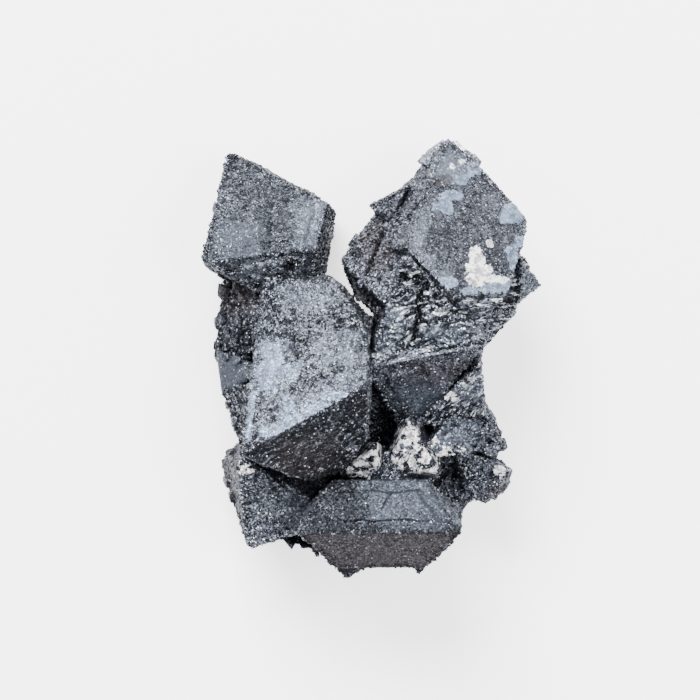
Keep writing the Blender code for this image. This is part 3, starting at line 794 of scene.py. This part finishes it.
def crystal_points(name, finish, salt):
    """The finished surface of one crystal: its plain body with the relief and the pits."""
    points, normals, cells = convex_surface(*bounding_planes(CRYSTALS[name]), finish.spacing)
    seen = (depth_inside(points, name) < RELIEF_DEPTH) & (normals[:, 2] > BASE_FACING)
    height = np.zeros(len(points))
    painted_shading = np.zeros(len(points))
    height[seen], painted_shading[seen] = relief(name, points[seen], finish, salt)
    raised = points + normals * height[:, None]
    pits = pit_depth(name, raised, normals)
    raised -= normals * pits[:, None]
    raised[:, 2] = np.maximum(raised[:, 2], 0.0)
    # Pits are darkened as painted shading
    return raised, cells, painted_shading - 0.9 * ramp(pits, 0.2, 1.2)


# ------------------------------
# Druse: small crystals on the large ones, in the same places as in the solid
DRUSE_SEED = 27
DRUSE_TURN = 22.0           # largest turn of a small crystal from its host, in degrees
DRUSE_SPACING = 0.42        # grid spacing on the small crystals
DRUSE_TRIES = 4000
DRUSE_SPREAD = 0.55         # how far directions stray from the favoured side
DRUSE_FLOOR = 2.0           # none has its middle lower than this
# In half heights of a small crystal: how deep it sits, how deep another crystal may cover it,
# and how far apart two of them stay
SUNK, COVERED, APART = 0.1, 0.3, 0.9


def druse_spots(host, count, smallest, largest, favoured, chance):
    """Places for small crystals: points of the host's surface that no other crystal covers."""
    crystal = CRYSTALS[host]
    centre = np.array(crystal.centre)
    units, reaches = (array[:-1] for array in bounding_planes(crystal))
    spots = []
    for _ in range(DRUSE_TRIES):
        direction = np.array([chance.gauss(side, DRUSE_SPREAD) for side in favoured])
        direction /= np.linalg.norm(direction)
        slopes = units @ direction
        open_to = slopes > 1e-6
        reach = ((reaches - units @ centre)[open_to] / slopes[open_to]).min()
        size = chance.uniform(smallest, largest)
        spot = centre + direction * (reach - SUNK * size)
        hidden = depth_inside(spot[None], host)[0] > COVERED * size
        crowded = any(np.linalg.norm(spot - other) < APART * (size + other_size)
                      for other, other_size in spots)
        if spot[2] > DRUSE_FLOOR and not hidden and not crowded:
            spots.append((spot, size))
        if len(spots) == count:
            break
    return spots


def slight_turn(chance):
    """A turn of up to DRUSE_TURN degrees about any axis."""
    axis = Vector([chance.gauss(0.0, 1.0) for _ in range(3)]).normalized()
    angle = math.radians(chance.uniform(0.0, DRUSE_TURN))
    return np.array(Matrix.Rotation(angle, 3, axis))


def druse_bodies(host, spots, turns):
    """The small octahedra of one host as one set of arrays, each with fine grains on its faces."""
    own_units = np.array([unit for unit, _ in faces(CRYSTALS[host]).values()])
    all_points, all_cells, start = [], [], 0
    for (spot, size), turn in zip(spots, turns):
        units = own_units @ turn.T
        reaches = units @ spot + size / math.sqrt(3.0)
        points, normals, cells = convex_surface(units, reaches, DRUSE_SPACING, least=5)
        height = DRUSE_GRAINS.height * grain_height(points, DRUSE_GRAINS, 7) - 0.03
        points = points + normals * height[:, None]
        all_points.append(points)
        all_cells.append(cells + start)
        start += len(points)
    points = np.concatenate(all_points)
    points[:, 2] = np.maximum(points[:, 2], 0.0)
    return points, np.concatenate(all_cells)


CRUST_CELL = 2.0            # side of the square that one crust crystal has, in its half heights
CRUST_TRIES = 1.5           # places tried for each such square of a fully covered face
CRUST_FLOOR = 0.3           # lowest place of a crust crystal
CRUST_LEAN = 0.25           # how far its axes stray from its host's
BURIED = 0.1                # crust deeper than this inside another crystal is left out
UNDERSIDE_SHARE = 0.2       # how much of the crust is kept on faces that look down


def crust_places(name, points, cells, finish, salt, chance):
    """Where tiny crystals sit on a surface: places, half heights and the directions outwards.

    Places are drawn over the cells by area, more of them near the crystal's edges. They are
    dropped on smooth areas and ledges, inside other crystals and in patches of their own.
    """
    a, b, c, d = (points[cells[:, k]] for k in range(4))
    across = np.cross(c - a, d - b)
    area = 0.5 * np.linalg.norm(across, axis=1)
    outward = across / np.maximum(2.0 * area, 1e-9)[:, None]
    rim = 1.0 - ramp(edge_distance(name, a), 0.1, 1.0)
    weight = area * (1.0 + 1.6 * rim)
    count = int(weight.sum() * finish.cover / (finish.crust * CRUST_CELL) ** 2 * CRUST_TRIES)
    pick = chance.choice(len(cells), size=count, p=weight / weight.sum())
    s, t = chance.random((2, count, 1))
    spots = ((1 - s) * (1 - t) * a[pick] + s * (1 - t) * b[pick] + s * t * c[pick]
             + (1 - s) * t * d[pick])
    looks, near = finish_numbers(name, spots)
    # Many are small and a few large; they are larger at edges and smaller on fine-grained faces.
    half = finish.crust * (0.55 + 1.1 * chance.random(count) ** 3) * (1.0 + 0.7 * rim[pick])
    half *= 0.5 + 0.5 * np.minimum(looks[:, 1], 1.2)
    # Smooth areas stay bare, and a cloud leaves gaps that grow where there is little cover.
    bare = np.maximum.reduce([near["silver"], near["pale"], near["slate"] - 0.1])
    patchy = layered_cloud(spots, 2.2, salt + 5) + 0.35 * (chance.random(count) - 0.5)
    share = np.where(outward[pick][:, 2] < -0.1, UNDERSIDE_SHARE, 1.0)
    gap_share = 0.66 - 0.45 * finish.cover * np.minimum(looks[:, 1], 1.1)
    keep = ((spots[:, 2] > CRUST_FLOOR) & (depth_inside(spots, name) < BURIED)
            & (chance.random(count) < share)
            & (bare < -0.02 + 0.12 * chance.random(count) ** 2)
            & (streak_numbers(name, spots)["streak"] < 0.5 + chance.random(count))
            & (patchy + 0.25 * rim[pick] > gap_share))
    return spots[keep], half[keep], outward[pick][keep]


def octahedra(name, spots, half, outward, chance):
    """Octahedra nearly parallel to a crystal, sunk a little into its surface.

    Each has six tips along its turned axes and eight three-sided faces.
    """
    count = len(spots)
    axes = np.array(CRYSTALS[name].tips) - np.array(CRYSTALS[name].centre)
    axes /= np.linalg.norm(axes, axis=1)[:, None]
    turned = axes[None] + chance.normal(0.0, CRUST_LEAN, (count, 3, 3))
    turned /= np.linalg.norm(turned, axis=2)[:, :, None]
    seat = (spots - outward * (0.25 * half)[:, None])[:, None]
    arms = turned * half[:, None, None]
    tips = np.concatenate([seat + arms, seat - arms], 1)
    sides = np.array([(0, 1, 2), (1, 3, 2), (3, 4, 2), (4, 0, 2),
                      (1, 0, 5), (3, 1, 5), (4, 3, 5), (0, 4, 5)])
    if np.linalg.det(axes) < 0:
        sides = sides[:, ::-1]
    triangles = (sides[None] + 6 * np.arange(count)[:, None, None]).reshape(-1, 3)
    tips = tips.reshape(-1, 3)
    tips[:, 2] = np.maximum(tips[:, 2], 0.0)
    return tips, triangles


def crust(name, points, cells, finish, salt):
    """A crust of tiny octahedra as one set of arrays, and how light each of its points is."""
    chance = np.random.default_rng(salt)
    spots, half, outward = crust_places(name, points, cells, finish, salt, chance)
    tips, triangles = octahedra(name, spots, half, outward, chance)
    tone = 1.5 * chance.random(len(spots)) ** 4 - 0.45
    return tips, triangles, np.repeat(tone, 6)


# ------------------------------
# Materials

class Value:
    """A socket that takes part in sums as a number does: each operator adds a Math node."""

    def __init__(self, surface, socket):
        self.surface = surface
        self.socket = socket

    def _sum(self, operation, first, second):
        return self.surface.value("ShaderNodeMath", {"operation": operation},
                                  {0: first, 1: second})

    def __add__(self, other):
        return self._sum("ADD", self, other)

    def __sub__(self, other):
        return self._sum("SUBTRACT", self, other)

    def __rsub__(self, other):
        return self._sum("SUBTRACT", other, self)

    def __mul__(self, other):
        return self._sum("MULTIPLY", self, other)

    __radd__ = __add__
    __rmul__ = __mul__


class Surface:
    """One material and its node tree."""

    def __init__(self, name):
        self.material = bpy.data.materials.new(name)
        self.material.use_nodes = True
        self.tree = self.material.node_tree
        self.shader = self.tree.nodes["Principled BSDF"]
        self.place = self.node("ShaderNodeTexCoord").outputs["Object"]

    def node(self, kind, settings=None, inputs=None):
        """A node of this kind, with its settings made first and then its sockets' values."""
        made = self.tree.nodes.new(kind)
        for key, setting in (settings or {}).items():
            setattr(made, key, setting)
        self.feed(made, inputs or {})
        return made

    def feed(self, node, inputs):
        """Set or link each named or numbered socket of a node."""
        for key, given in inputs.items():
            if isinstance(given, Value):
                self.tree.links.new(given.socket, node.inputs[key])
            elif isinstance(given, bpy.types.NodeSocket):
                self.tree.links.new(given, node.inputs[key])
            else:
                node.inputs[key].default_value = given

    def value(self, kind, settings=None, inputs=None, output=0):
        """An output of a new node, as a Value."""
        return Value(self, self.node(kind, settings, inputs).outputs[output])

    def attribute(self, name):
        """A number that the mesh carries for each point."""
        return self.value("ShaderNodeAttribute", {"attribute_name": name}, output="Fac")

    def blend(self, factor, first, second):
        """One colour over another; the sockets are the Mix node's colour sockets."""
        return self.value("ShaderNodeMix", {"data_type": "RGBA"}, {0: factor, 6: first, 7: second},
                          output=2)

    def step(self, value, low, high, to_low=0.0, to_high=1.0):
        """A value between two limits, stretched smoothly to two others and held outside."""
        return self.value("ShaderNodeMapRange", {"interpolation_type": "SMOOTHSTEP"},
                          {0: value, 1: low, 2: high, 3: to_low, 4: to_high})

    def noise(self, size, detail=3.0, roughness=0.55):
        """Noise from 0 to 1 with features of this size in millimetres."""
        return self.value("ShaderNodeTexNoise", {"noise_dimensions": "3D"},
                          {"Vector": self.place, "Scale": 1.0 / (size * MM), "Detail": detail,
                           "Roughness": roughness})

    def streaks(self, across, along):
        """Noise from 0 to 1 drawn out along the rows of the ledges."""
        way = self.value("ShaderNodeCombineXYZ", None, {0: across * 1.9, 1: along * 0.9})
        return self.value("ShaderNodeTexNoise", {"noise_dimensions": "2D"},
                          {"Vector": way, "Scale": 1.0, "Detail": 3.0, "Roughness": 0.6,
                           "Distortion": 0.35})

    def larger(self, first, second):
        """The larger of two values."""
        return self.value("ShaderNodeMath", {"operation": "MAXIMUM"}, {0: first, 1: second})

    def cells(self, size):
        """Small cells of this size in millimetres, each with one random colour."""
        return self.node("ShaderNodeTexVoronoi", {"feature": "F1"},
                         {"Vector": self.place, "Scale": 1.0 / (size * MM), "Randomness": 1.0})

    def glitter(self, cells, tilt):
        """The surface's own direction, leaned a different way in each cell."""
        lean = self.value("ShaderNodeVectorMath", {"operation": "SUBTRACT"},
                          {0: cells.outputs["Color"], 1: (0.5, 0.5, 0.5)})
        lean = self.value("ShaderNodeVectorMath", {"operation": "SCALE"}, {0: lean, 3: tilt})
        own = self.node("ShaderNodeNewGeometry").outputs["Normal"]
        summed = self.value("ShaderNodeVectorMath", {"operation": "ADD"}, {0: own, 1: lean})
        return self.value("ShaderNodeVectorMath", {"operation": "NORMALIZE"}, {0: summed})


# Where each area begins and is full, as closeness to its spots, the share of the area's own
# colour, and the colours: red, green, blue and alpha.
BORDERS = {"silver": (0.0, 0.08), "pale": (-0.02, 0.08), "haze": (-0.4, 0.5),
           "slate": (-0.2, 0.45), "brown": (-0.3, 0.5)}
HAZE_SHARE, HAZE_COLOR = 0.3, (0.150, 0.172, 0.220, 1.0)
SLATE_SHARE, SLATE_COLOR = 0.65, (0.036, 0.044, 0.058, 1.0)
BROWN_SHARE, BROWN_COLOR = 0.6, (0.023, 0.0175, 0.0195, 1.0)
PALE_SHARE, PALE_VEIN, PALE_COLOR = 0.75, (0.092, 0.126, 0.184, 1.0), (0.205, 0.265, 0.370, 1.0)
# Silver areas: darker veins in a near-white painted reflection
SILVER_VEIN, PAINTED_SILVER_REFLECTION = (0.24, 0.235, 0.255, 1.0), (0.92, 0.915, 0.93, 1.0)
# Painted glints: a near-white colour laid on a few grains and on bright lanes of the streaks
PAINTED_GLINT_SHARE, PAINTED_GLINT_COLOR = 0.9, (0.72, 0.74, 0.78, 1.0)
GRAZING_TINT = (0.48, 0.48, 0.50, 1.0)        # dulls the gloss of faces seen at a low angle


def hematite(name, dark, light, tilt, roughness, grain):
    """Dark steel-grey hematite: glittering grains, with silver, pale, slate and brown areas.

    A level from 0 to 1 chooses between the dark and the light colour. It adds up the mesh's
    tone, which carries painted shading, a number for each grain, fine and coarse noise, haze and
    the ledges' streaks, whose light and dark lanes are partly painted highlights. The areas are
    laid over that colour where the mesh's closeness to their spots passes a ragged border. The
    silver areas are smooth faces whose near-white colour is a painted reflection. Veins run
    through the pale and silver areas, and holes break the silver ones. Painted glints, a
    near-white colour, sit on a few grains and along the streaks. Each grain leans the surface's
    direction its own way by up to tilt, which makes it glitter.
    """
    surface = Surface(name)
    mottle = surface.attribute("mottle")
    rough_spots = surface.step(mottle, 0.4, 0.6)

    # Areas
    ragged = (surface.noise(0.45) - 0.5) * (0.5 + 0.4 * rough_spots)
    silver, pale, haze, slate, brown = (
        surface.step(surface.attribute(label) + ragged, *limits)
        for label, limits in BORDERS.items())
    holes = surface.step(surface.noise(1.0, 4.0), 0.50, 0.53) * rough_spots
    hollow = silver * holes
    silver = silver - hollow
    worn = surface.step(surface.noise(0.35), 0.50, 0.60)
    pale = pale * (1.0 - worn * rough_spots * 0.6)
    plain = surface.larger(surface.larger(silver, pale * 0.8), slate * 0.5)

    # Streaks along the ledges with painted glints on them, and grains with painted glints
    streak = surface.attribute("streak")
    lanes = surface.streaks(surface.attribute("across"), surface.attribute("along"))
    painted_streak_glint = surface.step(lanes, 0.60, 0.65) * surface.step(streak, 0.3, 1.2)
    cells = surface.cells(grain)
    split = {"Color": cells.outputs["Color"]}
    facet = surface.value("ShaderNodeSeparateColor", None, split)
    tone = surface.attribute("tone")
    painted_glint = surface.step(surface.value("ShaderNodeSeparateColor", None, split, 1), 0.97, 0.98)
    painted_glint = painted_glint * surface.step(tone, -0.6, 0.1, 0.35, 0.6)

    # Level between dark and light, with painted shading from the tone and the streaks' lanes
    level = tone + (facet - 0.5) * 1.2 + (surface.noise(0.14, 2.0) - 0.5) * 1.6
    level = level + (surface.noise(0.9) - 0.5) * mottle * 2.0 + haze * 0.3
    level = level + (lanes - 0.53) * streak * 4.5 - hollow * 0.5
    level = surface.step(level, -0.55, 0.85)

    # Colours, from the lowest layer to the top one
    color = surface.blend(level, dark, light)
    color = surface.blend(haze * HAZE_SHARE, color, HAZE_COLOR)
    color = surface.blend(slate * SLATE_SHARE, color, SLATE_COLOR)
    veins = surface.step(surface.noise(0.9, 5.0, 0.7) + (facet - 0.5) * 0.15, 0.42, 0.58)
    color = surface.blend(pale * PALE_SHARE, color, surface.blend(veins, PALE_VEIN, PALE_COLOR))
    color = surface.blend(brown * BROWN_SHARE, color, BROWN_COLOR)
    # Painted glints over the colour
    color = surface.blend(surface.larger(painted_streak_glint, painted_glint) * PAINTED_GLINT_SHARE, color, PAINTED_GLINT_COLOR)
    # Silver areas: painted reflection, near-white with darker veins
    color = surface.blend(silver, color, surface.blend(veins, SILVER_VEIN, PAINTED_SILVER_REFLECTION))
    rough = surface.step(surface.noise(0.6), 0.3, 0.7, roughness - 0.08, roughness + 0.14)
    surface.feed(surface.shader, {
        "Specular Tint": GRAZING_TINT,
        "Base Color": color,
        "Metallic": 0.72 - 0.35 * plain - 0.1 * brown,
        "Roughness": rough,
        "Normal": surface.glitter(cells, (1.0 - 0.6 * plain) * tilt),
    })
    return surface.material


def floor_paint():
    """Plain matt near-white."""
    surface = Surface("pale_floor")
    surface.feed(surface.shader, {
        "Base Color": (0.95, 0.95, 0.96, 1.0), "Roughness": 0.9,
        "Emission Color": (0.98, 0.98, 1.0, 1.0), "Emission Strength": 1.7})
    return surface.material


# ------------------------------
# The cluster

def point_attributes(name, points, tone):
    """The numbers that the material reads at each point."""
    looks, near = finish_numbers(name, points)
    # The tone attribute carries painted shading along with the crystal's own tone
    return {**near, **streak_numbers(name, points), "tone": tone + looks[:, 0],
            "mottle": looks[:, 2]}


face_material = hematite("hematite_faces", dark=(0.010, 0.011, 0.014, 1.0),
                         light=(0.150, 0.165, 0.202, 1.0), tilt=0.95, roughness=0.36, grain=0.17)
crust_material = hematite("hematite_crust", dark=(0.012, 0.013, 0.0165, 1.0),
                          light=(0.25, 0.267, 0.31, 1.0), tilt=0.35, roughness=0.28, grain=0.20)


def dress_crystal(name, salt):
    """The faces of one crystal and its crust, as two pieces."""
    finish = FINISHES.get(name, ROOT_FINISH)
    points, cells, painted_shading = crystal_points(name, finish, salt)
    # The tone takes in the relief's painted shading
    tone = layered_cloud(points, 4.0, salt + 41) - 0.5 + finish.tone + painted_shading
    sheet_of(name, points, cells, point_attributes(name, points, tone), face_material)
    tips, triangles, tone = crust(name, points, cells, finish, salt)
    if len(triangles):
        sheet_of(name + "_crust", tips, triangles,
                 point_attributes(name, tips, tone + finish.tone), crust_material)


def dress_druse(host, wanted, chance):
    """The small crystals on one host, as one piece."""
    spots = druse_spots(host, *wanted, chance)
    turns = [slight_turn(chance) for _ in spots]
    points, cells = druse_bodies(host, spots, turns)
    tone = layered_cloud(points, 1.5, 43) - 0.5 + FINISHES.get(host, ROOT_FINISH).tone
    sheet_of(host + "_druse", points, cells, point_attributes(host, points, tone), face_material)


for number, crystal_name in enumerate(CRYSTALS):
    dress_crystal(crystal_name, 100 * (number + 1))
draws = random.Random(DRUSE_SEED)
for druse_host, *wanted_druse in DRUSES:
    dress_druse(druse_host, wanted_druse, draws)


# ------------------------------
# Floor, light and camera
EYE = (-2.93, 1.2, 485.0)         # the camera's place in the tables' lengths
FOCAL_SHARE = 3525.0 / 700.0      # focal length over the width of the sensor
PANEL_SIDE = 0.5                  # side of a light panel, in metres
LIT_POINT = (0.0, 0.0, 0.015)     # where the panels look, in metres


def floor():
    """A square of floor just under the cluster."""
    side, level = 3.0, -0.0001
    mesh = bpy.data.meshes.new("floor")
    mesh.from_pydata([(-side, -side, level), (side, -side, level), (side, side, level),
                      (-side, side, level)], [], [(0, 1, 2, 3)])
    mesh.materials.append(floor_paint())
    piece = bpy.data.objects.new("floor", mesh)
    bpy.context.scene.collection.objects.link(piece)


def surroundings():
    """Even, slightly blue light from all sides."""
    world = bpy.data.worlds.new("studio")
    world.use_nodes = True
    background = world.node_tree.nodes["Background"]
    background.inputs["Color"].default_value = (0.92, 0.94, 0.97, 1.0)
    background.inputs["Strength"].default_value = 1.0
    bpy.context.scene.world = world


def soft_light(name, place, power):
    """A square light panel at a place in metres, turned towards the cluster."""
    lamp = bpy.data.lights.new(name, "AREA")
    lamp.energy = power
    lamp.size = PANEL_SIDE
    panel = bpy.data.objects.new(name, lamp)
    panel.location = place
    panel.rotation_euler = (Vector(LIT_POINT) - Vector(place)).to_track_quat("-Z", "Y").to_euler()
    bpy.context.scene.collection.objects.link(panel)


def camera():
    """Straight above the cluster, with its view's top towards the crowns."""
    lens = bpy.data.cameras.new("camera")
    lens.sensor_width = 36.0
    lens.lens = lens.sensor_width * FOCAL_SHARE
    lens.clip_start = 0.01
    eye = bpy.data.objects.new("camera", lens)
    eye.location = tuple((np.array(EYE) - BASE_MIDDLE) * MM)
    bpy.context.scene.collection.objects.link(eye)
    bpy.context.scene.camera = eye


floor()
soft_light("key", place=(-0.22, 0.6, 0.75), power=34.0)
soft_light("overhead", place=(0.45, -0.05, 1.0), power=12.0)
surroundings()
camera()
